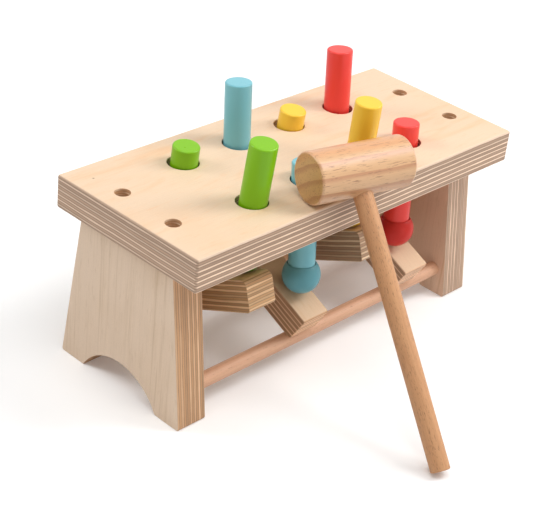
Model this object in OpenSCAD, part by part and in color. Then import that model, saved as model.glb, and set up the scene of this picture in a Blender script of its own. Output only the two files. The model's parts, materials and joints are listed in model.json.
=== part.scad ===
// Peg pounding bench: a plywood bench with four see-saw rockers under its top.
// Each rocker carries a front peg and a rear peg, so driving one down lifts the other.
// A wooden mallet leans on the front edge. Millimetres, +Z up, the feet stand on Z = 0.
// The origin is the middle of the footprint of the bench and its leaning mallet.

/* [Top board] */
// Length of the top board
board_l = 232; // [216:1:280]
// Depth of the top board, front to back
board_w = 100; // [92:1:130]
// Thickness of the top board
board_t = 18; // [15:1:22]
// Height of the bench from the floor to the top face
bench_h = 103; // [98:1:116]
// Radius that softens every edge of the top board
board_edge_r = 1.2; // [0.5:0.1:2.5]
// Distance between neighbouring columns of pegs
column_pitch = 38; // [34:0.5:40]
// Distance of each row of pegs from the nearer long edge of the top board
row_inset = 25.5; // [24:0.5:27]

/* [Legs] */
// Thickness of a leg panel
leg_t = 18; // [15:1:22]
// Depth of a leg where it meets the top board
leg_top_w = 66; // [60:1:76]
// Depth of a leg at the floor
leg_foot_w = 90; // [84:1:110]
// How far the ends of the top board reach past the legs
board_overhang = 5; // [3:0.5:10]
// How far the legs sit behind the middle of the top board
leg_set_back = 3.5; // [0:0.5:6]
// Width of the arch between the feet of a leg
arch_w = 55; // [44:1:62]
// Height of the arch between the feet of a leg
arch_h = 16; // [10:1:20]
// Radius of the outer corners of the feet
foot_corner_r = 1.5; // [0.5:0.1:3]

/* [Dowels] */
// Diameter of the axle dowel that the rockers turn on
axle_d = 8; // [6:0.5:9]
// Diameter of the two stop bars
stop_bar_d = 8; // [6:0.5:10]
// Distance between the front stop bar and the rear stop bar
stop_bar_spread = 62; // [56:1:64]
// Depth of the blind holes that hold the dowels in the legs
dowel_seat = 10; // [6:0.5:12]
// Diameter of the spacer sleeves on the axle
sleeve_d = 13; // [12:0.5:16]

/* [Rockers] */
// Length of a rocker along its top face
rocker_l = 88; // [80:1:92]
// Width of a rocker along the axle
rocker_w = 18; // [14:1:20]
// Thickness of a rocker
rocker_t = 17; // [14:1:18]
// How far each end of a rocker slopes in towards its underside
rocker_undercut = 2; // [0.5:0.5:4]
// Radius of the rocker's corners
rocker_corner_r = 1.6; // [0.5:0.1:3]
// Distance between neighbouring rockers along the axle
rocker_pitch = 40; // [36:0.5:41]
// How far the yellow rocker stands right of its place in that spacing
yellow_rocker_shift = 2; // [-2:0.5:3]
// Tilt of a rocker to either side of level, in degrees
rocker_tilt = 24.5; // [20:0.5:25]

/* [Pegs] */
// Diameter of a peg
peg_d = 14; // [11:0.5:15]
// Distance from the middle of the ball to the top of the peg
peg_reach = 62.5; // [58:0.5:70]
// Diameter of the ball on the lower end of a peg
ball_d = 20; // [18:0.5:21]
// Depth of the socket in the ball, from the seam
socket_depth = 6; // [4:0.5:8]
// Radius on the rim of a peg's top
peg_rim_r = 0.9; // [0.4:0.1:2]
// Tilt of the front pegs in their holes, from left to right, in degrees
front_peg_tilt = [5.5, 5.5, 3, 3]; // [0:0.5:6]
// Tilt of the rear pegs in their holes, from left to right, in degrees
rear_peg_tilt = [4.5, 4.5, 5.5, 4.5]; // [0:0.5:6]

/* [Screws] */
// Diameter of the sunk holes over the screws
counterbore_d = 8; // [7.6:0.1:10]
// Depth of the sunk holes over the screws
counterbore_depth = 11; // [8:0.5:12]
// Distance between the front screw and the rear screw of a leg
screw_pitch = 36; // [28:1:44]
// Diameter of a screw's shank
screw_d = 4; // [3:0.5:5]
// Length of a screw under its head
screw_l = 34; // [26:1:45]
// Diameter of a screw's head
screw_head_d = 7; // [6:0.1:7.4]
// Thickness of a screw's head
screw_head_t = 2.6; // [1.5:0.1:3.5]

/* [Mallet] */
// Diameter of the mallet's head
head_d = 26.5; // [22:0.5:32]
// Length of the mallet's head
head_l = 55; // [44:1:66]
// Radius on the rims of the mallet's head
head_rim_r = 1.4; // [0.5:0.1:4]
// Diameter of the mallet's handle
handle_d = 10; // [8:0.5:12]
// Distance from the middle of the head to the free end of the handle
handle_reach = 150.5; // [140:1:180]
// How far the handle goes into the head past its middle
handle_bite = 6; // [2:0.5:9]
// Radius on the rim of the handle's free end
handle_rim_r = 0.8; // [0.3:0.1:2]
// How far left of the bench's middle the mallet's head lies
mallet_shift = 10.8; // [0:0.2:40]
// How far behind the front edge the mallet's head touches the board
mallet_seat = 2; // [1:0.1:5]
// Turn of the mallet's head away from the board's length, in degrees
mallet_turn = 14.2; // [0:0.1:25]

/* [Fits] */
// Gap between pieces that move past each other
moving_gap = 0.3; // [0.2:0.05:0.5]
// Radial clearance of a rocker on the axle
axle_clearance = 0.08; // [0.02:0.01:0.1]
// Radial play of a peg in its hole in the board
peg_play = 1.25; // [1.2:0.05:1.8]
// Least gap between a raised ball and the underside of the board
ball_headroom = 0.4; // [0.3:0.1:1.5]

/* [Hidden] */
$fn = 64;
overrun = 1;

// Columns from left to right; in each, the front peg is up or the rear one is
colours = ["green", "blue", "yellow", "red"];
sides = ["front", "rear"];
raised = ["front", "rear", "front", "rear"];
paint = ["yellowgreen", "cadetblue", "gold", "tomato"];
plywood = "burlywood";
beech = "peru";

// Heights
row_pitch = board_w - 2 * row_inset;
underside_z = bench_h - board_t;
board_middle_z = bench_h - board_t / 2;
peg_hole_d = peg_d + 2 * peg_play;
ball_r = ball_d / 2;

// A ball's middle lies this far above the pivot of a tilted rocker, measured over the pivot
ball_rise = (rocker_t / 2 + ball_r + moving_gap) / cos(rocker_tilt);
ball_swing = row_pitch / 2 * tan(rocker_tilt);
axle_z = underside_z - ball_headroom - ball_r - ball_rise - ball_swing;
stop_bar_y = stop_bar_spread / 2;
stop_bar_z = axle_z - (rocker_t / 2 + stop_bar_d / 2 + moving_gap) / cos(rocker_tilt)
    - stop_bar_y * tan(rocker_tilt);

// Legs stand between these faces
leg_outer_x = board_l / 2 - board_overhang;
leg_inner_x = leg_outer_x - leg_t;
leg_middle_x = leg_outer_x - leg_t / 2;
dowel_l = 2 * (leg_inner_x + dowel_seat);
arch_r = (pow(arch_w / 2, 2) + pow(arch_h, 2)) / (2 * arch_h);

// The mallet leans until the rim of its handle touches the floor
head_z = bench_h + head_d / 2 + moving_gap;
handle_core_r = handle_d / 2 - handle_rim_r;
handle_core_l = handle_reach - handle_rim_r;
mallet_lean = acos((head_z - handle_rim_r) / norm([handle_core_l, handle_core_r]))
    + atan(handle_core_r / handle_core_l);
head_y = mallet_seat - board_w / 2;
handle_dir_y = -sin(mallet_lean) * cos(mallet_turn);
mallet_front_y = head_y + handle_core_l * handle_dir_y
    - handle_core_r * sqrt(1 - pow(handle_dir_y, 2)) - handle_rim_r;
bench_y = -(mallet_front_y + board_w / 2) / 2;

function place(colour) = search([colour], colours)[0];
function steps_from_middle(colour) = place(colour) - (len(colours) - 1) / 2;
function column_x(colour) = steps_from_middle(colour) * column_pitch;
function rocker_x(colour) = steps_from_middle(colour) * rocker_pitch
    + (colour == "yellow" ? yellow_rocker_shift : 0);
function way(side) = side == "front" ? -1 : 1;
function is_up(colour, side) = raised[place(colour)] == side;
function tilt_of(colour, side) =
    side == "front" ? front_peg_tilt[place(colour)] : rear_peg_tilt[place(colour)];

// A raised peg leans outwards and a driven one inwards, as its ball slides down the rocker
function lean_way(colour, side) = is_up(colour, side) ? way(side) : -way(side);
function ball_z(colour, side) =
    let (up = is_up(colour, side) ? 1 : -1, k = tan(rocker_tilt) * tan(tilt_of(colour, side)))
    (axle_z + ball_rise + up * ball_swing - k * board_middle_z) / (1 - k);

// Outline points pulled in along both edges of a corner, where its rounding starts and ends
function unit(v) = v / norm(v);
function corner(p, i) =
    let (n = len(p), a = unit(p[(i + n - 1) % n] - p[i]), b = unit(p[(i + 1) % n] - p[i]))
    [p[i], a, b, acos(a * b) / 2];

module rounded_outline(points, radii) {
    corners = [for (i = [0 : len(points) - 1]) corner(points, i)];
    polygon([for (i = [0 : len(points) - 1], arm = [1, 2])
        corners[i][0] + corners[i][arm] * radii[i] / tan(corners[i][3])]);
    for (i = [0 : len(points) - 1])
        translate(corners[i][0] + unit(corners[i][1] + corners[i][2]) * radii[i] / sin(corners[i][3]))
            circle(radii[i]);
}

module rounded_rectangle(w, h, r) {
    rounded_outline([[-w, -h] / 2, [w, -h] / 2, [w, h] / 2, [-w, h] / 2], [r, r, r, r]);
}

// A block with all its edges softened: where three rounded bars cross
module softened_block(size, r) {
    intersection() {
        linear_extrude(size[2], center = true) rounded_rectangle(size[0], size[1], r);
        rotate([90, 0, 0]) linear_extrude(size[1], center = true) rounded_rectangle(size[0], size[2], r);
        rotate([90, 0, 90]) linear_extrude(size[0], center = true) rounded_rectangle(size[1], size[2], r);
    }
}

// A round bar from z = 0 up to l, with a rounded rim at its top
module rimmed_bar(l, r, rim) {
    rotate_extrude() {
        square([r, l - rim]);
        square([r - rim, l]);
        translate([r - rim, l - rim]) intersection() {
            circle(rim);
            square(rim);
        }
    }
}

module along_x(l, d) {
    rotate([0, 90, 0]) cylinder(h = l, d = d, center = true);
}

module place_bench() {
    translate([0, bench_y, 0]) children();
}

// Screws stand over the middle of each leg's top
module at_screws() {
    for (x = [-leg_middle_x, leg_middle_x], y = [-screw_pitch / 2, screw_pitch / 2])
        translate([x, y, bench_h]) children();
}

module top_board() {
    color(plywood) place_bench() difference() {
        translate([0, 0, board_middle_z]) softened_block([board_l, board_w, board_t], board_edge_r);
        for (colour = colours, side = sides)
            translate([column_x(colour), way(side) * row_pitch / 2, underside_z - overrun])
                cylinder(h = board_t + 2 * overrun, d = peg_hole_d);
        at_screws() {
            translate([0, 0, -counterbore_depth])
                cylinder(h = counterbore_depth + overrun, d = counterbore_d);
            translate([0, 0, -board_t - overrun]) cylinder(h = board_t, d = screw_d);
        }
    }
}

// Seen from the end, front to the left: the foot corners are rounded, the top is square
module leg_outline() {
    difference() {
        rounded_outline(
            [[-leg_foot_w / 2, 0], [leg_foot_w / 2, 0],
             [leg_top_w / 2, underside_z], [-leg_top_w / 2, underside_z]],
            [foot_corner_r, foot_corner_r, 0, 0]);
        translate([0, arch_h - arch_r]) circle(arch_r, $fn = 96);
    }
}

// The right leg; the left one is its mirror image
module leg() {
    color(plywood) difference() {
        translate([leg_inner_x, leg_set_back, 0]) rotate([90, 0, 90])
            linear_extrude(leg_t) leg_outline();
        translate([0, 0, axle_z]) along_x(dowel_l, axle_d);
        for (side = sides)
            translate([0, way(side) * stop_bar_y, stop_bar_z]) along_x(dowel_l, stop_bar_d);
        at_screws() translate([0, 0, -counterbore_depth - screw_l])
            cylinder(h = screw_l, d = screw_d);
    }
}

module left_leg() {
    place_bench() mirror([1, 0, 0]) leg();
}

module right_leg() {
    place_bench() leg();
}

// A countersunk head would split the veneer, so the screws have flat-seated round heads
module screw() {
    recess_w = screw_head_d / 6;
    recess_l = screw_head_d * 0.6;
    difference() {
        translate([0, 0, -screw_l]) {
            cylinder(h = screw_d, r1 = 0, r2 = screw_d / 2);
            translate([0, 0, screw_d]) cylinder(h = screw_l - screw_d, d = screw_d);
            translate([0, 0, screw_l]) rimmed_bar(screw_head_t, screw_head_d / 2, screw_head_t / 3);
        }
        for (turn = [0, 90]) rotate([0, 0, turn])
            translate([-recess_l / 2, -recess_w / 2, screw_head_t / 2])
                cube([recess_l, recess_w, screw_head_t]);
    }
}

module top_screws() {
    color("silver") place_bench() at_screws() translate([0, 0, -counterbore_depth]) screw();
}

module rocker_axle() {
    color(beech) place_bench() translate([0, 0, axle_z]) along_x(dowel_l, axle_d);
}

// One sleeve fills each gap on the axle, between a leg and a rocker or between two rockers
module spacer_sleeves() {
    rocker_faces = [for (colour = colours, s = [-1, 1])
        rocker_x(colour) + s * (rocker_w / 2 + moving_gap)];
    faces = concat([-leg_inner_x], rocker_faces, [leg_inner_x]);
    color(beech) place_bench() translate([0, 0, axle_z])
        for (i = [0 : 2 : len(faces) - 2])
            translate([(faces[i] + faces[i + 1]) / 2, 0, 0]) difference() {
                along_x(faces[i + 1] - faces[i], sleeve_d);
                along_x(faces[i + 1] - faces[i] + 2 * overrun, axle_d);
            }
}

module stop_bar(side) {
    color(beech) place_bench() translate([0, way(side) * stop_bar_y, stop_bar_z])
        along_x(dowel_l, stop_bar_d);
}

// Seen from the end, level: flat top, and ends that slope in towards the underside
module rocker_outline() {
    top = rocker_l / 2;
    bottom = top - rocker_undercut;
    rounded_outline(
        [[-bottom, -rocker_t / 2], [bottom, -rocker_t / 2], [top, rocker_t / 2], [-top, rocker_t / 2]],
        [rocker_corner_r, rocker_corner_r, rocker_corner_r, rocker_corner_r]);
}

module rocker(colour) {
    color(plywood) place_bench() translate([rocker_x(colour), 0, axle_z])
        rotate([way(raised[place(colour)]) * rocker_tilt, 0, 0]) difference() {
            rotate([90, 0, 90]) linear_extrude(rocker_w, center = true) rocker_outline();
            along_x(rocker_w + 2 * overrun, axle_d + 2 * axle_clearance);
        }
}

// Turns a peg's own frame, its ball's middle at zero, into its place on its rocker
module place_peg(colour, side) {
    lean = lean_way(colour, side) * tilt_of(colour, side);
    z = ball_z(colour, side);
    y = way(side) * row_pitch / 2 + tan(lean) * (z - board_middle_z);
    place_bench() translate([column_x(colour), y, z]) rotate([-lean, 0, 0]) children();
}

seam_z = sqrt(pow(ball_r, 2) - pow(peg_d / 2, 2));
socket_z = seam_z - socket_depth;

module peg(colour, side) {
    color(paint[place(colour)]) place_peg(colour, side) translate([0, 0, socket_z])
        rimmed_bar(peg_reach - socket_z, peg_d / 2, peg_rim_r);
}

module ball(colour, side) {
    color(paint[place(colour)]) place_peg(colour, side) difference() {
        sphere(d = ball_d);
        translate([0, 0, socket_z]) cylinder(h = ball_d, d = peg_d);
    }
}

// The mallet's own frame: head along X, handle down along -Z, the head's middle at zero
module place_mallet() {
    place_bench() translate([-mallet_shift, head_y, head_z])
        rotate([0, 0, -mallet_turn]) rotate([-mallet_lean, 0, 0]) children();
}

module mallet_head() {
    color(plywood) place_mallet() difference() {
        for (end = [0, 1]) mirror([end, 0, 0]) rotate([0, 90, 0])
            rimmed_bar(head_l / 2, head_d / 2, head_rim_r);
        translate([0, 0, -head_d]) cylinder(h = head_d + handle_bite, d = handle_d);
    }
}

module mallet_handle() {
    color(beech) place_mallet() translate([0, 0, handle_bite]) mirror([0, 0, 1])
        rimmed_bar(handle_reach + handle_bite, handle_d / 2, handle_rim_r);
}

top_board();
left_leg();
right_leg();
top_screws();
rocker_axle();
spacer_sleeves();
stop_bar("front");  // front_stop_bar
stop_bar("rear");  // rear_stop_bar
rocker("green");  // green_rocker
rocker("blue");  // blue_rocker
rocker("yellow");  // yellow_rocker
rocker("red");  // red_rocker
peg("green", "front");  // green_front_peg
ball("green", "front");  // green_front_ball
peg("green", "rear");  // green_rear_peg
ball("green", "rear");  // green_rear_ball
peg("blue", "front");  // blue_front_peg
ball("blue", "front");  // blue_front_ball
peg("blue", "rear");  // blue_rear_peg
ball("blue", "rear");  // blue_rear_ball
peg("yellow", "front");  // yellow_front_peg
ball("yellow", "front");  // yellow_front_ball
peg("yellow", "rear");  // yellow_rear_peg
ball("yellow", "rear");  // yellow_rear_ball
peg("red", "front");  // red_front_peg
ball("red", "front");  // red_front_ball
peg("red", "rear");  // red_rear_peg
ball("red", "rear");  // red_rear_ball
mallet_head();
mallet_handle();
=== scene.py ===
"""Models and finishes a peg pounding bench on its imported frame.

The bench is plywood, with painted pegs that stand on four see-saw rockers, and a
mallet leans on its front edge. Sizes are in metres and colours are linear. Textures
are written in millimetres.
"""

import json
import math

import bmesh
import bpy
from mathutils import Matrix, Vector


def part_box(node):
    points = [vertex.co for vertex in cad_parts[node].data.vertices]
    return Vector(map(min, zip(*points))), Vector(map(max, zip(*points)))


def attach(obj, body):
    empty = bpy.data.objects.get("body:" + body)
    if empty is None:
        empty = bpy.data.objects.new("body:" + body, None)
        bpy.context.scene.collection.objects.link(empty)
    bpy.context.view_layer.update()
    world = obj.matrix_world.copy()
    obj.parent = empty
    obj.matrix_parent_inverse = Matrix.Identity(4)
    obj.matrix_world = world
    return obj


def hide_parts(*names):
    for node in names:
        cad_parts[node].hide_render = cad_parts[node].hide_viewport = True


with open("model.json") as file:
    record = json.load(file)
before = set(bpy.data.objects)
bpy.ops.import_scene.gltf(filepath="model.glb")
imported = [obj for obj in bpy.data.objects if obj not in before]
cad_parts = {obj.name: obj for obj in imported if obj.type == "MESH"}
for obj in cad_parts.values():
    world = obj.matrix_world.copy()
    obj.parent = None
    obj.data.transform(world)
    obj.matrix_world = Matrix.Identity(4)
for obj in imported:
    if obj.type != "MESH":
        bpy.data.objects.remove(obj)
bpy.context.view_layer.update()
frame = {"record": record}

bl_info = {
    "name": "Peg Pounding Bench",
    "version": (1, 0, 0),
    "blender": (4, 5, 0),
    "location": "View3D > Sidebar > Bench",
    "description": "Models a plywood pounding bench with rockers, painted pegs and a mallet",
    "category": "Object",
}

MM = 0.001
JOINTS = {joint["name"]: joint for joint in frame["record"]["behaviour"]["joints"]}
COLUMNS = ("green", "blue", "yellow", "red")
ROWS = ("front", "rear")
RAISED_FRONTS = ("green", "yellow")
BENCH_Y = JOINTS["green_rocker_turn"]["pos_m"][1]

# How far a cutter sticks out of what it cuts
OVERRUN = 2 * MM

# Thickness of the plywood's stack of layers, in millimetres, and their number
PLY_T = 18
PLY_LAYERS = 13

# The camera in metres and degrees, solved from the corners of the board and the legs
CAMERA_PLACE = (-0.528418, BENCH_Y - 0.458252, 0.449781)
CAMERA_TURN = (59.33270, -5.43133, -45.05725)


def from_photo(red, green, blue):
    """A colour written as in a picture, 0 to 255, made linear."""
    def linear(part):
        part /= 255
        return part / 12.92 if part <= 0.04045 else ((part + 0.055) / 1.055) ** 2.4
    return tuple(linear(part) for part in (red, green, blue))


# Properties

def length(name, default, description):
    return bpy.props.FloatProperty(name=name, description=description, default=default, min=0,
                                   subtype="DISTANCE", unit="LENGTH", precision=5)


def angle(name, degrees, description):
    return bpy.props.FloatProperty(name=name, description=description,
                                   default=math.radians(degrees), subtype="ANGLE",
                                   unit="ROTATION")


def power(name, default, description):
    return bpy.props.FloatProperty(name=name, description=description, default=default, min=0,
                                   unit="POWER")


def colour(name, default, description):
    return bpy.props.FloatVectorProperty(name=name, description=description, default=default,
                                         min=0, max=1, size=3, subtype="COLOR")


class BenchSizes(bpy.types.PropertyGroup):
    """Sizes of the bench that a user would change."""
    hole_d: length("Peg hole", 16.5 * MM, "Diameter of the holes that the pegs stand in")
    hole_rim: length("Hole rim", 0.35 * MM, "Bevel on the rims of the holes")
    board_edge: length("Board edge", 1.2 * MM, "Radius on the edges of the top board")
    panel_edge: length("Panel edge", 0.5 * MM, "Radius on the edges of the legs and rockers")
    counterbore_d: length("Sunk hole", 8 * MM, "Diameter of the sunk holes over the screws")
    counterbore_depth: length("Sunk depth", 11 * MM, "Depth of the sunk holes over the screws")
    leg_top_w: length("Leg top", 66 * MM, "Depth of a leg where it meets the top board")
    arch_w: length("Arch width", 55 * MM, "Width of the arch between the feet of a leg")
    arch_h: length("Arch height", 16 * MM, "Height of the arch between the feet of a leg")
    foot_corner: length("Foot corner", 1.5 * MM, "Radius on the outer corners of the feet")
    rocker_l: length("Rocker length", 88 * MM, "Length of a rocker along its top face")
    rocker_t: length("Rocker thickness", 17 * MM, "Thickness of a rocker")
    rocker_undercut: length("Undercut", 2 * MM, "How far a rocker's ends slope in below")
    rocker_corner: length("Rocker corner", 1.6 * MM, "Radius on a rocker's corners")
    raised_corner: length("Raised corner", 4.5 * MM, "Radius on a raised rocker's front corner")
    rocker_tilt: angle("Rocker tilt", 24.5, "Tilt of a rocker at rest")
    axle_d: length("Axle", 8 * MM, "Diameter of the axle")
    axle_play: length("Axle play", 0.16 * MM, "How much wider a rocker's bore is than the axle")
    sleeve_d: length("Sleeve", 13 * MM, "Diameter of the spacer sleeves")
    sleeve_gap: length("Sleeve gap", 0.3 * MM, "Gap between a sleeve and a rocker")
    peg_d: length("Peg", 14 * MM, "Diameter of a peg")
    peg_reach: length("Peg reach", 62.5 * MM, "From the middle of the ball to the peg's top")
    peg_rim: length("Peg rim", 0.9 * MM, "Radius on the top rim of a peg")
    ball_d: length("Ball", 20 * MM, "Diameter of a ball")
    socket_depth: length("Socket", 6 * MM, "Depth of the ball's socket under the seam")
    seam_gap: length("Seam", 0.35 * MM, "Gap round the peg where it goes into the ball")
    seam_edge: length("Seam edge", 0.15 * MM, "Radius on the ball's edge at the seam")
    screw_d: length("Screw", 4 * MM, "Diameter of a screw's shank")
    screw_l: length("Screw length", 34 * MM, "Length of a screw under its head")
    screw_head_d: length("Screw head", 7 * MM, "Diameter of a screw's head")
    screw_head_t: length("Head thickness", 2.6 * MM, "Thickness of a screw's head")


class MalletSizes(bpy.types.PropertyGroup):
    """Sizes and pose of the mallet."""
    head_d: length("Head", 26.5 * MM, "Diameter of the mallet's head")
    head_l: length("Head length", 55 * MM, "Length of the mallet's head")
    head_rim: length("Head rim", 1.4 * MM, "Radius on the rims of the head")
    handle_d: length("Handle", 10 * MM, "Diameter of the handle")
    handle_reach: length("Handle reach", 150.5 * MM, "From the head's middle to the handle's end")
    handle_bite: length("Handle bite", 6 * MM, "How far the handle goes past the head's middle")
    handle_rim: length("Handle rim", 0.8 * MM, "Radius on the rim of the handle's end")
    turn: angle("Turn", 14.2, "Turn of the head away from the board's edge")


class BenchColours(bpy.types.PropertyGroup):
    """Paints and wood tones."""
    green: colour("Green paint", from_photo(125, 186, 6), "Paint of the green pegs")
    blue: colour("Blue paint", from_photo(121, 187, 199), "Paint of the blue pegs")
    yellow: colour("Yellow paint", from_photo(244, 197, 60), "Paint of the yellow pegs")
    red: colour("Red paint", from_photo(234, 64, 56), "Paint of the red pegs")
    veneer: colour("Veneer", from_photo(227, 199, 170), "Face of the board")
    veneer_warm: colour("Warm veneer", from_photo(228, 184, 142), "Warm streaks in the face")
    layer_light: colour("Light layer", from_photo(234, 206, 180), "Layers cut along the grain")
    layer_dark: colour("Dark layer", from_photo(176, 145, 121), "Layers cut across the grain")
    beech: colour("Beech", from_photo(200, 149, 106), "Dowels of beech")
    head_pale: colour("Pale wood", from_photo(212, 167, 121), "Pale wood of the head")
    head_streak: colour("Streaks", from_photo(182, 124, 82), "Late wood of the head")


class StageSettings(bpy.types.PropertyGroup):
    """Camera and lamps."""
    lens: bpy.props.FloatProperty(name="Lens", default=102.616, min=1,
                                  description="Focal length of the camera, in millimetres")
    key_power: power("Key lamp", 7.4, "Power of the lamp overhead")
    glint_power: power("Glint lamp", 3.4, "Power of the lamp that glints on the mallet")
    left_power: power("Left lamp", 5.9, "Power of the lamp at the left")
    right_power: power("Right lamp", 6.4, "Power of the lamp at the right")
    front_power: power("Front lamp", 1.3, "Power of the low lamp in front")
    fill: bpy.props.FloatProperty(name="Fill", default=0.37, min=0,
                                  description="Strength of the even light of the room")


# Modelling helpers

def clear_selection():
    """Leaves object mode on, with nothing selected."""
    if bpy.context.object and bpy.context.object.mode != "OBJECT":
        bpy.ops.object.mode_set(mode="OBJECT")
    bpy.ops.object.select_all(action="DESELECT")


def make_active(piece):
    clear_selection()
    piece.select_set(True)
    bpy.context.view_layer.objects.active = piece


def settle(piece):
    """Moves a piece's place, turn and scale into its mesh."""
    make_active(piece)
    bpy.ops.object.transform_apply(location=True, rotation=True, scale=True)
    return piece


def block(name, size, middle=(0, 0, 0)):
    clear_selection()
    bpy.ops.mesh.primitive_cube_add(size=1, location=middle, scale=size)
    bpy.context.object.name = name
    return settle(bpy.context.object)


def bar(name, diameter, depth, middle=(0, 0, 0), along="Z", sides=64):
    """A round bar along the X or the Z axis."""
    clear_selection()
    turn = {"X": (0, math.pi / 2, 0), "Z": (0, 0, 0)}[along]
    bpy.ops.mesh.primitive_cylinder_add(vertices=sides, radius=diameter / 2, depth=depth,
                                        location=middle, rotation=turn)
    bpy.context.object.name = name
    return settle(bpy.context.object)


class Editing:
    """Edit mode on one piece. Calling it selects the parts that pass a test."""

    def __init__(self, piece):
        self.piece = piece

    def __enter__(self):
        make_active(self.piece)
        bpy.ops.object.mode_set(mode="EDIT")
        return self

    def __call__(self, kind, test):
        bpy.ops.mesh.select_mode(type=kind)
        bpy.ops.mesh.select_all(action="DESELECT")
        mesh = bmesh.from_edit_mesh(self.piece.data)
        parts = {"VERT": mesh.verts, "EDGE": mesh.edges, "FACE": mesh.faces}[kind]
        for part in parts:
            if test(part):
                part.select_set(True)
        mesh.select_flush_mode()
        bmesh.update_edit_mesh(self.piece.data)

    def __exit__(self, *problem):
        bpy.ops.object.mode_set(mode="OBJECT")


def near(value, other, slack=0.01 * MM):
    return abs(value - other) < slack


def lies_along(edge, axis):
    """Whether an edge runs along one of the row's axes: 0, 1 or 2."""
    way = edge.verts[1].co - edge.verts[0].co
    return abs(way[axis]) > 0.999 * way.length


def at_height(height):
    """A test for the edges that lie at one height."""
    return lambda edge: all(near(vert.co.z, height) for vert in edge.verts)


def bevel(radius, segments):
    """Rounds the edges that are selected in edit mode."""
    bpy.ops.mesh.bevel(offset=radius, segments=segments, affect="EDGES")


def apply_modifier(piece, kind, **settings):
    make_active(piece)
    modifier = piece.modifiers.new(kind.title(), kind)
    for name, value in settings.items():
        setattr(modifier, name, value)
    bpy.ops.object.modifier_apply(modifier=modifier.name)


def cut(piece, cutters):
    """Takes the cutters out of a piece and deletes them."""
    for cutter in cutters:
        apply_modifier(piece, "BOOLEAN", operation="DIFFERENCE", solver="EXACT", object=cutter)
        bpy.data.objects.remove(cutter, do_unlink=True)


def join(pieces):
    make_active(pieces[0])
    for piece in pieces[1:]:
        piece.select_set(True)
    bpy.ops.object.join()
    return bpy.context.object


def soften(piece, radius, segments=3):
    """Rounds every sharp edge, and keeps the flat faces flat in the light."""
    make_active(piece)
    bpy.ops.object.shade_smooth()
    apply_modifier(piece, "BEVEL", width=radius, segments=segments, limit_method="ANGLE",
                   angle_limit=math.radians(30), harden_normals=True, use_clamp_overlap=True)


def smooth(piece, sharp=35, flat_ends=False):
    """Shades a piece smooth up to an angle in degrees. Flat ends keep flat in the light."""
    make_active(piece)
    bpy.ops.object.shade_smooth_by_angle(angle=math.radians(sharp))
    if flat_ends:
        apply_modifier(piece, "WEIGHTED_NORMAL", keep_sharp=True)


def copy_of(piece, name, place):
    """A copy with its own mesh, put in its place."""
    make_active(piece)
    bpy.ops.object.duplicate(linked=False)
    copy = bpy.context.object
    copy.name = name
    copy.matrix_world = place
    return settle(copy)


def finish(piece, body, slot, material, *nodes):
    """Gives a piece its finish and its body, in place of the plain solids."""
    piece.data.materials.clear()
    piece.data.materials.append(material)
    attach(piece, body)
    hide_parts(*nodes)


# Materials

class Socket:
    """An output of a node, for sums and products written in Python."""

    def __init__(self, graph, output):
        self.graph = graph
        self.output = output

    def maths(self, operation, *values):
        return self.graph.maths(operation, *values)

    def __add__(self, other):
        return self.maths("ADD", self, other)

    def __radd__(self, other):
        return self.maths("ADD", other, self)

    def __sub__(self, other):
        return self.maths("SUBTRACT", self, other)

    def __rsub__(self, other):
        return self.maths("SUBTRACT", other, self)

    def __mul__(self, other):
        return self.maths("MULTIPLY", self, other)

    def __rmul__(self, other):
        return self.maths("MULTIPLY", other, self)

    def __truediv__(self, other):
        return self.maths("DIVIDE", self, other)

    def __pow__(self, other):
        return self.maths("POWER", self, other)

    def __mod__(self, other):
        return self.maths("WRAP", self, other, 0)

    def __abs__(self):
        return self.maths("ABSOLUTE", self)


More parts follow.
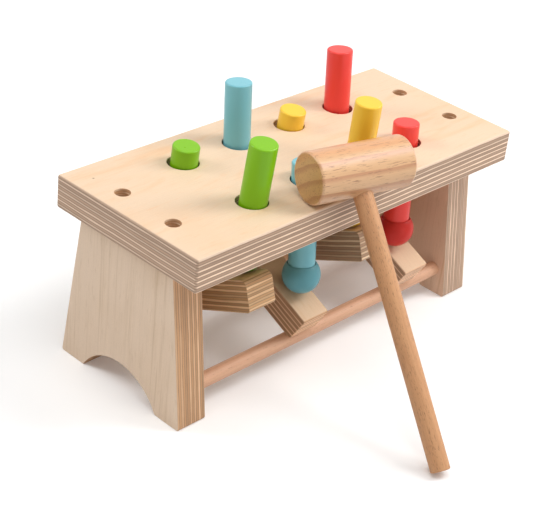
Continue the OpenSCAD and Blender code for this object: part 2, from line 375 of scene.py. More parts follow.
class Graph:
    """The nodes of one material or world."""

    def __init__(self, owner):
        self.owner = owner
        owner.use_nodes = True
        self.tree = owner.node_tree
        self.tree.nodes.clear()

    def add(self, kind, settings=None, sockets=None):
        """Adds any node: its settings first, then the values or links of its sockets."""
        node = self.tree.nodes.new("ShaderNode" + kind)
        for name, value in (settings or {}).items():
            setattr(node, name, value)
        for name, value in (sockets or {}).items():
            if isinstance(value, Socket):
                self.tree.links.new(value.output, node.inputs[name])
            else:
                node.inputs[name].default_value = value
        return [Socket(self, output) for output in node.outputs]

    def maths(self, operation, *values):
        return self.add("Math", {"operation": operation}, dict(enumerate(values)))[0]

    def rays(self):
        """The kinds of ray, by name."""
        return {socket.output.name: socket for socket in self.add("LightPath")}

    def point(self, place=(0, 0, 0), turn=(0, 0, 0)):
        """The point in a piece's own frame, in millimetres."""
        point = self.add("TexCoord")[3]
        return self.add("Mapping", {"vector_type": "TEXTURE"}, {
            "Vector": point, "Location": place, "Rotation": turn, "Scale": (MM, MM, MM)})[0]

    def facing(self, turn=(0, 0, 0)):
        """How squarely the surface faces along each axis of the piece's frame, 0 to 1."""
        normal = self.add("TexCoord")[1]
        normal = self.add("Mapping", {"vector_type": "TEXTURE"},
                          {"Vector": normal, "Rotation": turn})[0]
        return [abs(part) for part in self.split(normal)]

    def split(self, vector):
        return self.add("SeparateXYZ", None, {0: vector})

    def distance(self, point, other):
        return self.add("VectorMath", {"operation": "DISTANCE"}, {0: point, 1: other})[1]

    def stretched(self, vector, scale, offset=(0, 0, 0)):
        """The vector times scale plus offset, part by part."""
        return self.add("VectorMath", {"operation": "MULTIPLY_ADD"},
                        {0: vector, 1: scale, 2: offset})[0]

    def noise(self, vector, scale, detail=3, roughness=0.55, distortion=0.0, offset=(0, 0, 0)):
        """Noise of 0 to 1, whose scale along each axis is given per millimetre."""
        vector = self.stretched(vector, scale, offset)
        return self.add("TexNoise", None, {"Vector": vector, "Scale": 1, "Detail": detail,
                                           "Roughness": roughness, "Distortion": distortion})[0]

    def step(self, value, low, high, ends=(0, 1)):
        """Goes smoothly from the first end to the last as value goes from low to high."""
        return self.add("MapRange", {"interpolation_type": "SMOOTHSTEP"},
                        {0: value, 1: low, 2: high, 3: ends[0], 4: ends[1]})[0]

    def mix(self, factor, first, second, blend="MIX"):
        """Mixes two colours."""
        tones = [tone if isinstance(tone, Socket) else (*tone, 1) for tone in (first, second)]
        return self.add("Mix", {"data_type": "RGBA", "blend_type": blend},
                        {0: factor, 6: tones[0], 7: tones[1]})[2]

    def shade(self, tone, factor):
        """A colour made darker or lighter by a number near 1."""
        grey = self.add("CombineColor", None, {0: factor, 1: factor, 2: factor})[0]
        return self.mix(1, tone, grey, "MULTIPLY")

    def close(self, tone, roughness, relief=None, depth=0.05, **fixed):
        """Ends a material in one shader. Fixed values are set on its own sockets."""
        sockets = {"Base Color": tone, "Roughness": roughness}
        if relief is not None:
            sockets["Normal"] = self.add("Bump", None, {
                "Height": relief, "Distance": depth * MM, "Strength": 1})[0]
        sockets.update(fixed)
        shader = self.add("BsdfPrincipled", None, sockets)[0]
        self.add("OutputMaterial", None, {0: shader})
        return self.owner


def new_graph(name):
    return Graph(bpy.data.materials.new(name))


def tones():
    return bpy.context.scene.bench_colours


def plywood(name, through, grain, place=(0, 0, 0), turn=(0, 0, 0), mirrored_from=None,
            face_tints=None, edge_tints=None, figure_scale=(0.016, 0.11), half=0.37, blur=0.13,
            uneven=0.5, fading=0.25, painted_end_light=0.0, knots=(), bores=(), seed=0.0):
    """Birch plywood: layers whose grain turns by a right angle from one to the next.

    through and grain are the axes, 0 to 2, that the layers stack along and that the face's
    grain runs along, in the frame given by place and turn. The stack starts at place, or
    mirrored_from away from it on both sides. half is how far a light layer reaches from
    its middle, blur is how soft its border is and uneven how far this wanders. fading
    dulls some light layers, and painted_end_light lightens the ends that the face's grain meets,
    as painted light, since the lamps light them too little.
    """
    graph = new_graph(name)
    point = graph.point(place, turn)
    facing = graph.facing(turn)
    across = 3 - through - grain
    layer = PLY_T / PLY_LAYERS

    def scale(along_grain, across_grain, through_layers):
        parts = [0, 0, 0]
        parts[grain], parts[across], parts[through] = along_grain, across_grain, through_layers
        return parts

    # Where the point lies in the stack, and how far from a layer with the face's grain
    height = graph.split(point)[through]
    if mirrored_from is not None:
        height = abs(height) - mirrored_from
    shift = (seed, seed * 1.7, seed * 0.6)
    wave = graph.noise(point, scale(0.035, 0.035, 0.25), 2, offset=shift) - 0.5
    height = height + 0.9 * wave
    inside = graph.add("Clamp", None, {0: height, 1: layer / 2, 2: PLY_T - layer / 2})[0]
    period = 2 * layer
    from_long = abs(((inside - layer / 2) / period + 0.5) % 1 - 0.5) * period
    drift = graph.noise(point, scale(0.05, 0.05, 0.4), 2, offset=(5, seed, 3)) - 0.5
    from_long = from_long + uneven * drift
    long_layer = graph.step(from_long, half + blur, half - blur)
    cross_layer = graph.step(from_long, layer - half - blur, layer - half + blur)
    glue = graph.step(abs(from_long - 0.68), 0.24, 0.06)
    own_tone = graph.add("TexWhiteNoise", {"noise_dimensions": "1D"},
                         {"W": graph.maths("FLOOR", inside / layer) + seed})[0]

    # A layer is light where its grain lies in the surface, and dark where it is cut across
    light = long_layer * (1 - facing[grain]) + cross_layer * (1 - facing[across])
    light = light * graph.step(own_tone, 0, 1, (1 - fading, 1))
    face = graph.step(facing[through], 0.75, 0.95)

    # Face veneer
    colours = tones()
    face_tone, warm_tone = face_tints or (tuple(colours.veneer), tuple(colours.veneer_warm))
    fibre = graph.noise(point, scale(0.05, 2.2, 2.2), 4, 0.6, offset=shift)
    along, crosswise = figure_scale
    figure = graph.noise(point, scale(along, crosswise, crosswise), 4, 0.6, 0.6, offset=shift)
    cloud = graph.noise(point, (0.02, 0.02, 0.02), 2, offset=shift)
    streaks = graph.noise(point, scale(0.1, 0.55, 0.55), 3, 0.6, offset=(seed, 2, seed))
    grit = graph.noise(point, (1.6, 1.6, 1.6), 2, 0.6)
    warm = graph.step(figure, 0.5, 0.78) * 0.75 + graph.step(cloud, 0.45, 0.8) * 0.35
    veneer = graph.mix(warm, face_tone, warm_tone)
    veneer = graph.mix(graph.step(streaks, 0.56, 0.72) * 0.4, veneer, warm_tone)
    veneer = graph.shade(veneer, 0.85 + 0.16 * fibre + 0.12 * grit)
    for knot in knots:
        core = graph.step(graph.distance(point, knot), 0.8, 0.3)
        veneer = graph.mix(core * 0.7, veneer, (0.22, 0.12, 0.06))

    # Edges, with pores and fine lines in the dark layers and dark glue between the layers
    light_tone, dark_tone = edge_tints or (tuple(colours.layer_light), tuple(colours.layer_dark))
    pores = graph.noise(point, (0.9, 0.9, 2.2), 5, 0.75, offset=shift)
    lines = graph.noise(point, scale(0.014, 0.014, 3.4), 3, 0.7, offset=(seed, 8, seed))
    flecks = graph.noise(point, scale(0.3, 0.3, 1.6), 3, 0.7, offset=(seed + 3, seed, 5))
    dark = graph.shade(dark_tone, 0.37 + 0.34 * pores + 0.7 * lines + 0.26 * own_tone)
    dark = graph.shade(dark, 1 - 0.4 * graph.step(flecks, 0.66, 0.74))
    dark = graph.shade(dark, 1 - 0.34 * glue)
    pale = graph.shade(light_tone, 0.56 + 0.26 * fibre + 0.36 * lines + 0.26 * own_tone)
    edge = graph.mix(light, dark, pale)
    # Painted light: the ends that the face's grain meets are made lighter, as the lamps light
    # them too little
    edge = graph.shade(edge, 1 + painted_end_light * facing[grain])

    # The walls of the sunk holes are painted paler than the edges, as painted light where the
    # lamps hardly reach into the holes
    if bores:
        painted_bore_light = graph.mix(light, from_photo(222, 172, 124), from_photo(255, 232, 200))
        flat_point = graph.stretched(point, (1, 1, 0))
    for bore in bores:
        wall = graph.step(graph.distance(flat_point, bore), 5, 4.6)
        edge = graph.mix(wall * 0.6, edge, painted_bore_light)

    tone = graph.mix(face, edge, veneer)
    relief = light * 0.5 + fibre * 0.25
    roughness = 0.52 + 0.16 * fibre - 0.06 * light
    return graph.close(tone, roughness, relief, 0.06)


def solid_wood(name, along, pale, late, place=(0, 0, 0), turn=(0, 0, 0), pith=(30, 18),
               ring=4.2, late_start=0.25, ring_amount=0.75, fleck_tone=(0.25, 0.12, 0.06),
               fleck_amount=0.55, fleck_scale=(0.42, 2.1), fleck_start=0.6, coat=0.0,
               sapwood=None, seed=0.0):
    """Solid wood with growth rings round a pith, fibres and flecks.

    along is the axis, 0 to 2, that the wood grows along, and pith is a place across it.
    late_start is the part of a ring where its late wood starts. sapwood is the two radii
    between which the wood turns to the sapwood's tone, and that tone.
    """
    graph = new_graph(name)
    point = graph.point(place, turn)
    facing = graph.facing(turn)
    shift = (seed, seed * 1.3, seed * 0.7)

    def scale(lengthwise, crosswise):
        parts = [crosswise] * 3
        parts[along] = lengthwise
        return parts

    # Rings, a little bent along the wood
    sides = [part for axis, part in enumerate(graph.split(point)) if axis != along]
    bend = graph.noise(point, scale(0.014, 0.05), 2, offset=shift) - 0.5
    wobble = graph.noise(point, scale(0.03, 0.22), 3, offset=shift) - 0.5
    first = sides[0] - pith[0] + 9 * bend
    second = sides[1] - pith[1] + 6 * bend
    radius = (first * first + second * second) ** 0.5 + 1.6 * wobble
    phase = (radius / ring) % 1
    late_wood = graph.step(phase, late_start, 0.88) * graph.step(phase, 1, 0.93)

    fibre = graph.noise(point, scale(0.05, 3), 4, 0.65, offset=shift)
    streak = graph.noise(point, scale(0.012, 0.45), 3, 0.55, offset=shift)
    speck = graph.noise(point, (2.4, 2.4, 2.4), 3, 0.7, offset=shift)
    flecks = graph.noise(point, scale(*fleck_scale), 2, 0.6, offset=(seed + 7, seed, 1))
    flecks = graph.step(flecks, fleck_start, fleck_start + 0.08)
    flecks = flecks * graph.step(streak, 0.36, 0.6, (0.3, 1))

    tone = graph.mix(late_wood * ring_amount, pale, late)
    if sapwood:
        start, end, sapwood_tone = sapwood
        tone = graph.mix(graph.step(radius, start, end) * 0.85, tone, sapwood_tone)
    tone = graph.mix(graph.step(streak, 0.5, 0.8) * 0.4, tone, late)
    tone = graph.shade(tone, 0.86 + 0.28 * fibre)
    tone = graph.mix(flecks * fleck_amount, tone, fleck_tone)

    # The ends are duller, with the pores cut across
    end = graph.step(facing[along], 0.8, 0.97)
    end_tone = graph.mix(1, tone, (0.82, 0.74, 0.53), "MULTIPLY")
    end_tone = graph.shade(end_tone, 0.82 + 0.4 * speck)
    tone = graph.mix(end, tone, end_tone)
    roughness = 0.4 + 0.16 * fibre + 0.15 * end
    relief = fibre * 0.4 - flecks
    return graph.close(tone, roughness, relief, 0.05, **{
        "Specular IOR Level": 0.35, "Coat Weight": coat, "Coat Roughness": 0.32})


def satin_paint(name, tone, strength=1.0, gloss=0.36):
    """Satin paint over smooth wood, a little uneven where the brush or dip has run."""
    graph = new_graph(name)
    point = graph.point()
    cloud = graph.noise(point, (0.06, 0.06, 0.03), 3)
    skin = graph.noise(point, (0.8, 0.8, 0.8), 2, offset=(3, 7, 5))
    tone = graph.shade(tone, strength * (0.94 + 0.12 * cloud))
    return graph.close(tone, 0.24 + 0.12 * cloud, skin, 0.02, **{"Specular IOR Level": gloss})


def steel(name):
    """Zinc-plated steel, dulled in its recess."""
    graph = new_graph(name)
    grain = graph.noise(graph.point(), (6, 6, 6), 3)
    tone = graph.shade((0.62, 0.62, 0.63), 0.8 + 0.4 * grain)
    return graph.close(tone, 0.28 + 0.2 * grain, grain, 0.01, Metallic=1)


# Pieces

def peg_line(column, row):
    """The middle of a peg's ball and the way up along the peg, at rest."""
    joint = JOINTS[f"{column}_{row}_peg_travel"]
    way = Vector(joint["axis"])
    return Vector(joint["pos_m"]), way if way.z > 0 else -way


def screw_places():
    """The places of the four screws, seen from above."""
    low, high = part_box("top_screws")
    inset = bpy.context.scene.bench_sizes.screw_head_d / 2
    return [(x, y) for x in (low[0] + inset, high[0] - inset)
            for y in (low[1] + inset, high[1] - inset)]


class BENCH_OT_add_top_board(bpy.types.Operator):
    """Add the top board, with its peg holes and its sunk screw holes"""
    bl_idname = "bench.add_top_board"
    bl_label = "Top Board"

    def execute(self, context):
        sizes = context.scene.bench_sizes
        low, high = (Vector(corner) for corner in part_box("top_board"))
        middle = (low + high) / 2
        board = block("birch_top", high - low, middle)
        with Editing(board) as pick:
            pick("EDGE", lambda edge: True)
            bevel(sizes.board_edge, 4)

        # Rims are the middles and radii of the holes in the top and bottom faces
        through_l = high.z - low.z + 2 * OVERRUN
        sunk_l = sizes.counterbore_depth + OVERRUN
        sunk_z = high.z + OVERRUN - sunk_l / 2
        rims = []
        cutters = []
        for column in COLUMNS:
            for row in ROWS:
                ball, way = peg_line(column, row)
                x, y, z = ball + way * ((middle.z - ball.z) / way.z)
                rims.append((x, y, sizes.hole_d / 2))
                cutters.append(bar("cutter", sizes.hole_d, through_l, (x, y, z)))
        for x, y in screw_places():
            rims.append((x, y, sizes.counterbore_d / 2))
            cutters += [
                bar("cutter", sizes.counterbore_d, sunk_l, (x, y, sunk_z), sides=48),
                bar("cutter", sizes.screw_d, through_l, (x, y, middle.z), sides=32),
            ]
        cut(board, cutters)

        def on_rim(edge):
            ends = [vert.co for vert in edge.verts]
            if not any(at_height(height)(edge) for height in (low.z, high.z)):
                return False
            return any(all(near(math.hypot(end.x - x, end.y - y), radius, 0.05 * MM)
                           for end in ends) for x, y, radius in rims)

        with Editing(board) as pick:
            pick("EDGE", on_rim)
            bevel(sizes.hole_rim, 2)
        smooth(board, flat_ends=True)
        # The walls of the sunk screw holes get painted light in the plywood
        bores = [((x - low.x) / MM, (y - low.y) / MM, 0) for x, y in screw_places()]
        wood = plywood("board_plywood", through=2, grain=0, place=low,
                       knots=[(11.6, 86.8, PLY_T)], bores=bores, seed=11.0)
        finish(board, "bench", "board_plywood", wood, "top_board")
        return {"FINISHED"}


class BENCH_OT_add_legs(bpy.types.Operator):
    """Add the two legs, wider at the foot, with an arch between their feet"""
    bl_idname = "bench.add_legs"
    bl_label = "Legs"

    def execute(self, context):
        sizes = context.scene.bench_sizes
        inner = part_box("right_leg")[0][0] / MM
        arch_r = ((sizes.arch_w / 2) ** 2 + sizes.arch_h ** 2) / (2 * sizes.arch_h)

        # Tones of the light and dark layers, and of the face and its streaks, set apart for each
        # leg partly as painted light: the right leg's edges are painted lighter and greyer, for
        # the lamp at the right
        tints_with_painted_light = {
            "left_leg": ((from_photo(222, 184, 148), from_photo(186, 143, 104)),
                         (from_photo(223, 198, 173), from_photo(202, 173, 142))),
            "right_leg": ((from_photo(224, 194, 168), from_photo(180, 148, 124)),
                          (from_photo(222, 186, 158), from_photo(202, 162, 130))),
        }
        for node, (edge_tints, face_tints) in tints_with_painted_light.items():
            low, high = (Vector(corner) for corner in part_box(node))
            size, middle = high - low, (low + high) / 2
            panel = block(f"{node}_panel", size, middle)
            with Editing(panel) as pick:
                pick("VERT", lambda vert: near(vert.co.z, high.z))
                bpy.ops.transform.resize(value=(1, sizes.leg_top_w / size.y, 1),
                                         center_override=(middle.x, middle.y, high.z))
                pick("EDGE", lambda edge: lies_along(edge, 0) and at_height(low.z)(edge))
                bevel(sizes.foot_corner, 4)
            cut(panel, [bar("cutter", 2 * arch_r, size.x + 2 * OVERRUN,
                            (middle.x, middle.y, sizes.arch_h - arch_r), "X", 192)])
            soften(panel, sizes.panel_edge)
            wood = plywood(f"{node}_plywood", through=0, grain=2, mirrored_from=inner,
                           face_tints=face_tints, edge_tints=edge_tints,
                           figure_scale=(0.012, 0.5), blur=0.26, uneven=1.1, fading=0.7,
                           seed=4.0)
            finish(panel, "bench", "leg_plywood", wood, node)
        return {"FINISHED"}


class BENCH_OT_add_screws(bpy.types.Operator):
    """Add the four wood screws that hold the top board on the legs"""
    bl_idname = "bench.add_screws"
    bl_label = "Screws"

    def execute(self, context):
        sizes = context.scene.bench_sizes
        head_r, head_t = sizes.screw_head_d / 2, sizes.screw_head_t
        slot_l, slot_w = head_r * 1.2, head_r / 3
        head = bar("screw_head", sizes.screw_head_d, head_t, (0, 0, head_t / 2), sides=48)
        with Editing(head) as pick:
            pick("EDGE", at_height(head_t))
            bevel(head_t / 3, 4)
        cut(head, [block("cutter", (slot_l, slot_w, head_t), (0, 0, head_t)),
                   block("cutter", (slot_w, slot_l, head_t), (0, 0, head_t))])

        # The shank ends in a point as long as the shank is thick
        point_l = sizes.screw_d
        shank = bar("screw_shank", sizes.screw_d, sizes.screw_l, (0, 0, -sizes.screw_l / 2),
                    sides=32)
        with Editing(shank) as pick:
            pick("FACE", lambda face: face.normal.z < -0.9)
            bpy.ops.transform.translate(value=(0, 0, point_l))
            bpy.ops.mesh.extrude_region_move(TRANSFORM_OT_translate={"value": (0, 0, -point_l)})
            bpy.ops.transform.resize(value=(0.05, 0.05, 1),
                                     center_override=(0, 0, -sizes.screw_l))
        screw = join([head, shank])
        smooth(screw)
        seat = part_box("top_board")[1][2] - sizes.counterbore_depth
        copies = [copy_of(screw, "screw", Matrix.Translation((x, y, seat)))
                  for x, y in screw_places()]
        bpy.data.objects.remove(screw, do_unlink=True)
        screws = join(copies)
        screws.name = "wood_screws"
        finish(screws, "bench", "screw_steel", steel("screw_steel"), "top_screws")
        return {"FINISHED"}


class BENCH_OT_add_dowels(bpy.types.Operator):
    """Add the axle with its spacer sleeves and the two stop bars"""
    bl_idname = "bench.add_dowels"
    bl_label = "Dowels"

    def execute(self, context):
        sizes = context.scene.bench_sizes
        late = from_photo(192, 138, 108)
        woods = {
            "rocker_axle": solid_wood(
                "axle_beech", 0, tuple(tones().beech), from_photo(180, 126, 90),
                pith=(60, 20), ring_amount=0.3, seed=2.0),
            "front_stop_bar": solid_wood(
                "stop_bar_beech", 0, from_photo(220, 174, 142), late,
                pith=(-40, 60), ring_amount=0.35, fleck_amount=0.35, seed=5.0),
            "rear_stop_bar": solid_wood(
                "rear_bar_beech", 0, from_photo(222, 172, 136), late,
                pith=(50, -70), ring_amount=0.35, fleck_amount=0.35, seed=9.0),
        }
        for node, wood in woods.items():
            low, high = (Vector(corner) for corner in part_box(node))
            dowel = bar(f"{node}_dowel", high.z - low.z, high.x - low.x, (low + high) / 2,
                        "X", 48)
            soften(dowel, sizes.panel_edge)
            finish(dowel, "bench", "dowel_beech", wood, node)

        # A sleeve fills each gap between the legs and the rockers
        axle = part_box("rocker_axle")
        middle = [(axle[0][axis] + axle[1][axis]) / 2 for axis in range(3)]
        faces = [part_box("spacer_sleeves")[0][0]]
        for column in COLUMNS:
            low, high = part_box(f"{column}_rocker")
            faces += [low[0] - sizes.sleeve_gap, high[0] + sizes.sleeve_gap]
        faces.append(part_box("spacer_sleeves")[1][0])
        sleeves = []
        for start, end in zip(faces[::2], faces[1::2]):
            place = ((start + end) / 2, middle[1], middle[2])
            sleeve = bar("sleeve", sizes.sleeve_d, end - start, place, "X", 48)
            cut(sleeve, [bar("cutter", sizes.axle_d, end - start + 2 * OVERRUN, place,
                             "X", 48)])
            soften(sleeve, sizes.panel_edge, 2)
            sleeves.append(sleeve)
        sleeve = join(sleeves)
        sleeve.name = "axle_sleeves"
        finish(sleeve, "bench", "dowel_beech", woods["rocker_axle"], "spacer_sleeves")
        return {"FINISHED"}


class BENCH_OT_add_rockers(bpy.types.Operator):
    """Add the four rockers, tilted to the front and to the back by turns"""
    bl_idname = "bench.add_rockers"
    bl_label = "Rockers"

    def execute(self, context):
        sizes = context.scene.bench_sizes
        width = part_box("green_rocker")[1][0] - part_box("green_rocker")[0][0]
        long, thick = sizes.rocker_l, sizes.rocker_t

        # Tones of the light and dark layers, set apart for each rocker to suit the light on it,
        # so they hold painted light and shade
        edge_tints = {
            "green": (from_photo(222, 186, 144), from_photo(180, 139, 98)),
            "blue": (from_photo(216, 178, 142), from_photo(166, 124, 90)),
            "yellow": (from_photo(206, 178, 146), from_photo(158, 124, 96)),
            "red": (from_photo(218, 182, 150), from_photo(170, 132, 104)),
        }
        for column in COLUMNS:
            raised = column in RAISED_FRONTS
            pivot = Vector(JOINTS[f"{column}_rocker_turn"]["pos_m"])
            tilt = -sizes.rocker_tilt if raised else sizes.rocker_tilt
            stand = Matrix.Translation(pivot) @ Matrix.Rotation(tilt, 4, "X")
            rocker = block(f"{column}_see_saw", (width, long, thick))
            with Editing(rocker) as pick:
                pick("VERT", lambda vert: vert.co.z < 0)
                bpy.ops.transform.resize(value=(1, 1 - 2 * sizes.rocker_undercut / long, 1),
                                         center_override=(0, 0, -thick / 2))
                if raised:
                    pick("EDGE", lambda edge: lies_along(edge, 0)
                         and edge.verts[0].co.y < 0 < edge.verts[0].co.z)
                    bevel(sizes.raised_corner, 8)
                pick("EDGE", lambda edge: lies_along(edge, 0) and edge.calc_face_angle() > 1)
                bevel(sizes.rocker_corner, 5)
            cut(rocker, [bar("cutter", sizes.axle_d + sizes.axle_play, width + 2 * OVERRUN,
                             (0, 0, 0), "X", 64)])
            soften(rocker, sizes.panel_edge)
            rocker.matrix_world = stand
            settle(rocker)
            # The ends get painted light, more on the rockers whose fronts are low
            wood = plywood(f"{column}_rocker_plywood", through=2, grain=1,
                           place=stand @ Vector((0, 0, -PLY_T / 2 * MM)), turn=(tilt, 0, 0),
                           face_tints=(from_photo(220, 187, 153), from_photo(213, 172, 133)),
                           edge_tints=edge_tints[column], half=0.5, blur=0.28, uneven=0.9,
                           fading=0.45, painted_end_light=0.15 if raised else 0.6,
                           seed=20.0 + pivot.x / MM)
            finish(rocker, f"{column}_rocker", "rocker_plywood", wood, f"{column}_rocker")
        return {"FINISHED"}


class BENCH_OT_add_pegs(bpy.types.Operator):
    """Add the eight painted pegs and the balls on their lower ends"""
    bl_idname = "bench.add_pegs"
    bl_label = "Pegs"

    def execute(self, context):
        sizes = context.scene.bench_sizes
        peg_r, ball_r = sizes.peg_d / 2, sizes.ball_d / 2
        seam = math.sqrt(ball_r ** 2 - (peg_r + sizes.seam_gap) ** 2)
        socket = math.sqrt(ball_r ** 2 - peg_r ** 2) - sizes.socket_depth
        reach = sizes.peg_reach
        peg = bar("peg", sizes.peg_d, reach - socket, (0, 0, (reach + socket) / 2), sides=72)
        with Editing(peg) as pick:
            pick("EDGE", at_height(reach))
            bevel(sizes.peg_rim, 5)
        smooth(peg, 40, flat_ends=True)

        # The ball is cut flat at the seam, and its socket goes down from there
        clear_selection()
        bpy.ops.mesh.primitive_uv_sphere_add(segments=72, ring_count=48, radius=ball_r)
        ball = bpy.context.object
        ball.name = "ball"
        with Editing(ball) as pick:
            pick("FACE", lambda face: True)
            bpy.ops.mesh.bisect(plane_co=(0, 0, seam), plane_no=(0, 0, 1), clear_outer=True)
            pick("EDGE", lambda edge: edge.is_boundary)
            bpy.ops.mesh.extrude_region_move(
                TRANSFORM_OT_translate={"value": (0, 0, socket - seam)})
            bpy.ops.mesh.edge_face_add()
            pick("EDGE", at_height(seam))
            bevel(sizes.seam_edge, 2)
        smooth(ball, 40)

        for column in COLUMNS:
            slot = f"{column}_paint"
            tone = tuple(getattr(tones(), column))
            paint = satin_paint(slot, tone)
            # The balls get a darker copy of the paint, with less gloss, as painted shade under
            # the board
            shaded_ball_paint = satin_paint(f"{column}_ball_paint", tone, 0.7, 0.12)
            for row in ROWS:
                name = f"{column}_{row}"
                body = f"{name}_peg"
                place, way = peg_line(column, row)
                lean = Matrix.Rotation(-math.atan2(way.y, way.z), 4, "X")
                stand = Matrix.Translation(place) @ lean
                finish(copy_of(peg, f"{name}_dowel", stand), body, slot, paint, f"{name}_peg")
                finish(copy_of(ball, f"{name}_bead", stand), body, slot, shaded_ball_paint,
                       f"{name}_ball")
        for piece in (peg, ball):
            bpy.data.objects.remove(piece, do_unlink=True)
        return {"FINISHED"}


class BENCH_OT_add_mallet(bpy.types.Operator):
    """Add the mallet, leaning on the front edge of the top board"""
    bl_idname = "bench.add_mallet"
    bl_label = "Mallet"

    def execute(self, context):
        sizes = context.scene.mallet_sizes
        low, high = (Vector(corner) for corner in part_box("mallet_head"))
        middle = (low + high) / 2

        # The rim of the handle's end rests on the floor
        core_l = sizes.handle_reach - sizes.handle_rim
        core_r = sizes.handle_d / 2 - sizes.handle_rim
        lean = (math.acos((middle.z - sizes.handle_rim) / math.hypot(core_l, core_r))
                + math.atan(core_r / core_l))
        turn = Matrix.Rotation(-sizes.turn, 4, "Z") @ Matrix.Rotation(-lean, 4, "X")
        place = Matrix.Translation(middle) @ turn

        half = sizes.head_l / 2
        head = bar("mallet_head_turned", sizes.head_d, sizes.head_l, along="X", sides=96)
        with Editing(head) as pick:
            pick("EDGE", lambda edge: near(abs(edge.verts[0].co.x), half)
                 and near(edge.verts[0].co.x, edge.verts[1].co.x))
            bevel(sizes.head_rim, 5)
        socket_l = sizes.head_d + sizes.handle_bite
        socket_z = sizes.handle_bite - socket_l / 2
        cut(head, [bar("cutter", sizes.handle_d, socket_l, (0, 0, socket_z))])

        handle_l = sizes.handle_reach + sizes.handle_bite
        handle_z = sizes.handle_bite - handle_l / 2
        handle = bar("mallet_handle_turned", sizes.handle_d, handle_l, (0, 0, handle_z))
        with Editing(handle) as pick:
            pick("EDGE", at_height(-sizes.handle_reach))
            bevel(sizes.handle_rim, 4)

        for piece in (head, handle):
            smooth(piece, 40, flat_ends=True)
            piece.matrix_world = place
            settle(piece)

        colours = tones()
        angles = tuple(turn.to_euler())
        head_wood = solid_wood(
            "head_wood", 0, tuple(colours.head_pale), tuple(colours.head_streak), middle, angles,
            pith=(4, -53.4), ring=7.5, late_start=0.5, ring_amount=0.8,
            fleck_tone=(0.33, 0.14, 0.055), fleck_amount=0.9, fleck_scale=(0.17, 1.6),
            fleck_start=0.57, coat=1.0, sapwood=(60.8, 63.6, from_photo(214, 154, 104)),
            seed=3.0)
        handle_wood = solid_wood(
            "handle_beech", 2, tuple(colours.beech), from_photo(178, 124, 84), middle, angles,
            pith=(50, 26), ring=3.4, ring_amount=0.25, fleck_amount=0.6, fleck_start=0.565,
            seed=8.0)
        finish(head, "mallet", "head_wood", head_wood, "mallet_head")
        finish(handle, "mallet", "handle_beech", handle_wood, "mallet_handle")
        return {"FINISHED"}


# Stage

def add_camera(stage):
    clear_selection()
    bpy.ops.object.camera_add(location=CAMERA_PLACE,
                              rotation=[math.radians(part) for part in CAMERA_TURN])
    camera = bpy.context.object
    camera.name = "photo_camera"
    camera.data.lens = stage.lens
    camera.data.clip_start = 0.01
    bpy.context.scene.camera = camera


def add_floor():
    """A floor that takes shadows near the bench and is white further off."""
    clear_selection()
    bpy.ops.mesh.primitive_plane_add(size=8, location=(0, 0, 0))
    floor = bpy.context.object
    floor.name = "studio_floor"
    graph = new_graph("pale_floor")
    seen = graph.rays()["Is Camera Ray"]
    paper = graph.mix(seen, (0.76, 0.76, 0.76), (0.95, 0.95, 0.95))
    glow = 0.08 + seen * graph.step(graph.distance(graph.point(), (0, 0, 0)), 350, 1100)
    floor.data.materials.append(graph.close(paper, 0.9, **{
        "Specular IOR Level": 0, "Emission Color": graph.shade((1, 1, 1), glow),
        "Emission Strength": 1}))


def add_lamps(stage):
    """Square lamps: each one's name, its place from the bench, its width and its power."""
    aim = Vector((0, BENCH_Y, 0.09))
    lamps = (
        ("overhead_lamp", (-0.3, -0.15, 1.25), 0.9, stage.key_power),
        ("glint_lamp", (0.42, -0.42, 0.88), 0.34, stage.glint_power),
        ("front_lamp", (0.05, -1.15, 0.14), 0.5, stage.front_power),
        ("left_lamp", (-0.75, 0.95, 0.75), 0.5, stage.left_power),
        ("right_lamp", (0.95, -0.6, 0.75), 0.5, stage.right_power),
    )
    for name, place, size, watts in lamps:
        clear_selection()
        place = Vector(place) + aim
        turn = (aim - place).to_track_quat("-Z", "Y").to_euler()
        bpy.ops.object.light_add(type="AREA", location=place, rotation=turn)
        lamp = bpy.context.object
        lamp.name = name
        lamp.data.size = size
        lamp.data.energy = watts


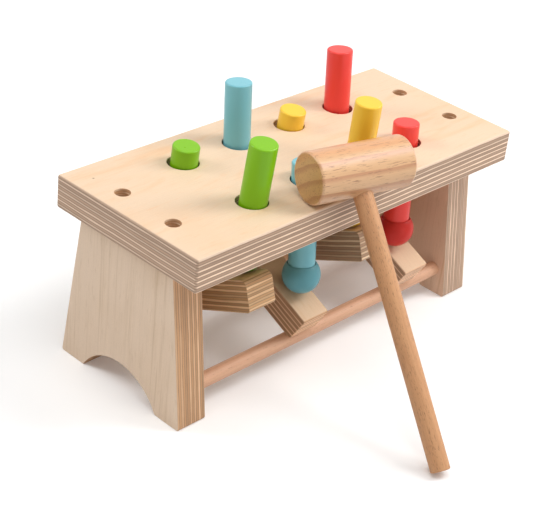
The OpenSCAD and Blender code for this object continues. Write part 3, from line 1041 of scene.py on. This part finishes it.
def light_room(stage):
    """A room that looks white, in the picture and in gloss, but lights the bench less."""
    world = bpy.data.worlds.new("white_room")
    graph = Graph(world)
    rays = graph.rays()
    white = rays["Is Camera Ray"] + rays["Is Glossy Ray"]
    strength = graph.step(white, 0, 1, (stage.fill, 1))
    background = graph.add("Background", None, {"Color": (1, 1, 1, 1), "Strength": strength})[0]
    graph.add("OutputWorld", None, {"Surface": background})
    bpy.context.scene.world = world


class BENCH_OT_set_stage(bpy.types.Operator):
    """Set the camera, the floor and the lamps"""
    bl_idname = "bench.set_stage"
    bl_label = "Stage"

    def execute(self, context):
        stage = context.scene.bench_stage
        add_camera(stage)
        add_floor()
        add_lamps(stage)
        light_room(stage)
        context.scene.view_settings.view_transform = "Standard"
        return {"FINISHED"}


# Add-on

OPERATORS = (
    BENCH_OT_set_stage,
    BENCH_OT_add_top_board,
    BENCH_OT_add_legs,
    BENCH_OT_add_screws,
    BENCH_OT_add_dowels,
    BENCH_OT_add_rockers,
    BENCH_OT_add_pegs,
    BENCH_OT_add_mallet,
)


class BENCH_PT_pieces(bpy.types.Panel):
    """Lists the operators and the sizes of the bench"""
    bl_idname = "BENCH_PT_pieces"
    bl_label = "Peg Pounding Bench"
    bl_space_type = "VIEW_3D"
    bl_region_type = "UI"
    bl_category = "Bench"

    def draw(self, context):
        for operator in OPERATORS:
            self.layout.operator(operator.bl_idname)
        for group in GROUPS:
            settings = getattr(context.scene, group)
            box = self.layout.box()
            for name in settings.bl_rna.properties.keys():
                if name not in ("rna_type", "name"):
                    box.prop(settings, name)


GROUPS = {"bench_sizes": BenchSizes, "mallet_sizes": MalletSizes, "bench_colours": BenchColours,
          "bench_stage": StageSettings}
CLASSES = (*GROUPS.values(), *OPERATORS, BENCH_PT_pieces)


def register():
    for kind in CLASSES:
        bpy.utils.register_class(kind)
    for name, group in GROUPS.items():
        setattr(bpy.types.Scene, name, bpy.props.PointerProperty(type=group))


def unregister():
    for name in GROUPS:
        delattr(bpy.types.Scene, name)
    for kind in reversed(CLASSES):
        bpy.utils.unregister_class(kind)


def main():
    register()
    for operator in OPERATORS:
        group, name = operator.bl_idname.split(".")
        getattr(getattr(bpy.ops, group), name)()


if __name__ == "__main__":
    main()
